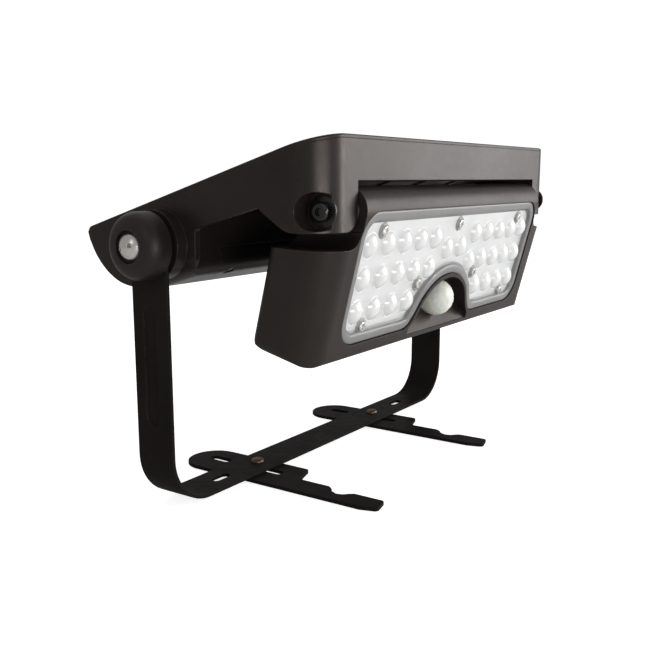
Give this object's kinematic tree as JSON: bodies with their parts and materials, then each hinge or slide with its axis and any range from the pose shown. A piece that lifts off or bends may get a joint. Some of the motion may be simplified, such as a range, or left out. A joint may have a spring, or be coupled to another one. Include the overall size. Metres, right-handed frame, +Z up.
{
  "type": "solar flood light",
  "caption": "Tilting solar panel housing with a folding LED lamp head and motion sensor, held in a U-shaped strap bracket with swivelling feet.",
  "frame": {"origin": "centre of the underside of the bracket's base strap, midway between its two fixing slots", "axes": "+Z up, away from the base strap; +X along the tilt axis; the lamp head faces -Y"},
  "size_m": [0.334, 0.1589, 0.1938],
  "materials": {
    "coated_steel": "black powder coat, satin",
    "rivet_steel": "bronzed zinc plate",
    "black_plastic": "fine-grained black ABS, satin",
    "seal_rubber": "matt",
    "button_rubber": "matt",
    "stainless": "polished stainless",
    "panel_glass": "clear tempered glass",
    "solar_cell": "dark blue-black silicon",
    "backsheet": "black polymer sheet",
    "cell_wrap": "shrink sleeve",
    "inner_plastic": "moulded",
    "circuit_board": "solder mask",
    "chip_plastic": "moulded",
    "wire": "insulated",
    "insert_brass": "turned",
    "lens_clear": "clear and part frosted polycarbonate",
    "led_board": "white solder mask on aluminium",
    "spreader": "mill finish",
    "led_phosphor": "phosphor",
    "pir_white": "milky polyethylene",
    "sensor_can": "plated can"
  },
  "bodies": {
    "bracket": {"u_bracket": "coated_steel", "foot_rivets": "rivet_steel"},
    "foot_left": {"foot_left": "coated_steel"},
    "foot_right": {"foot_right": "coated_steel"},
    "housing": {"housing_shell": "black_plastic", "battery_cover": "black_plastic", "cover_gasket": "seal_rubber", "cover_screws": "stainless", "panel_bezel": "black_plastic", "panel_tape": "seal_rubber", "panel_backsheet": "backsheet", "panel_glass": "panel_glass", "solar_cells": "solar_cell", "battery_cells": "cell_wrap", "battery_cradle": "inner_plastic", "control_board": "circuit_board", "board_components": "chip_plastic", "board_standoffs": "inner_plastic", "panel_leads": "wire", "pivot_inserts": "insert_brass", "pivot_bolts": "stainless", "pivot_caps": "black_plastic", "pivot_washers": "seal_rubber"},
    "head": {"head_shell": "black_plastic", "head_back_cover": "black_plastic", "head_seal": "seal_rubber", "head_cover_screws": "stainless", "lens_plate": "lens_clear", "lens_gasket": "seal_rubber", "lens_screws": "stainless", "led_board": "led_board", "heat_spreader": "spreader", "led_chips": "led_phosphor", "pir_dome": "pir_white", "pir_sensor": "sensor_can", "sensor_board": "circuit_board", "sensor_components": "chip_plastic", "tact_switch": "chip_plastic", "hinge_screws": "stainless", "hinge_washers": "stainless", "hinge_friction_discs": "seal_rubber"},
    "button": {"power_button": "button_rubber"}
  },
  "joints": [
    {"name": "housing_tilt", "type": "hinge", "parent": "bracket", "child": "housing", "pos_m": [0, 0, 0.1387], "axis": [1, 0, 0], "range_deg": [-90, 90]},
    {"name": "head_hinge", "type": "hinge", "parent": "housing", "child": "head", "pos_m": [0, -0.0925, 0.1566], "axis": [1, 0, 0], "range_deg": [-30.9, 55]},
    {"name": "foot_left_swivel", "type": "hinge", "parent": "bracket", "child": "foot_left", "pos_m": [-0.067, 0, 0], "axis": [0, 0, 1], "range_deg": [-90, 30]},
    {"name": "foot_right_swivel", "type": "hinge", "parent": "bracket", "child": "foot_right", "pos_m": [0.067, 0, 0], "axis": [0, 0, 1], "range_deg": [-30, 90]},
    {"name": "power_button_press", "type": "slide", "parent": "head", "child": "button", "axis": [0, -0.9693, -0.246], "range_m": [0, 0.001], "stiffness_N_per_m": 400}
  ]
}
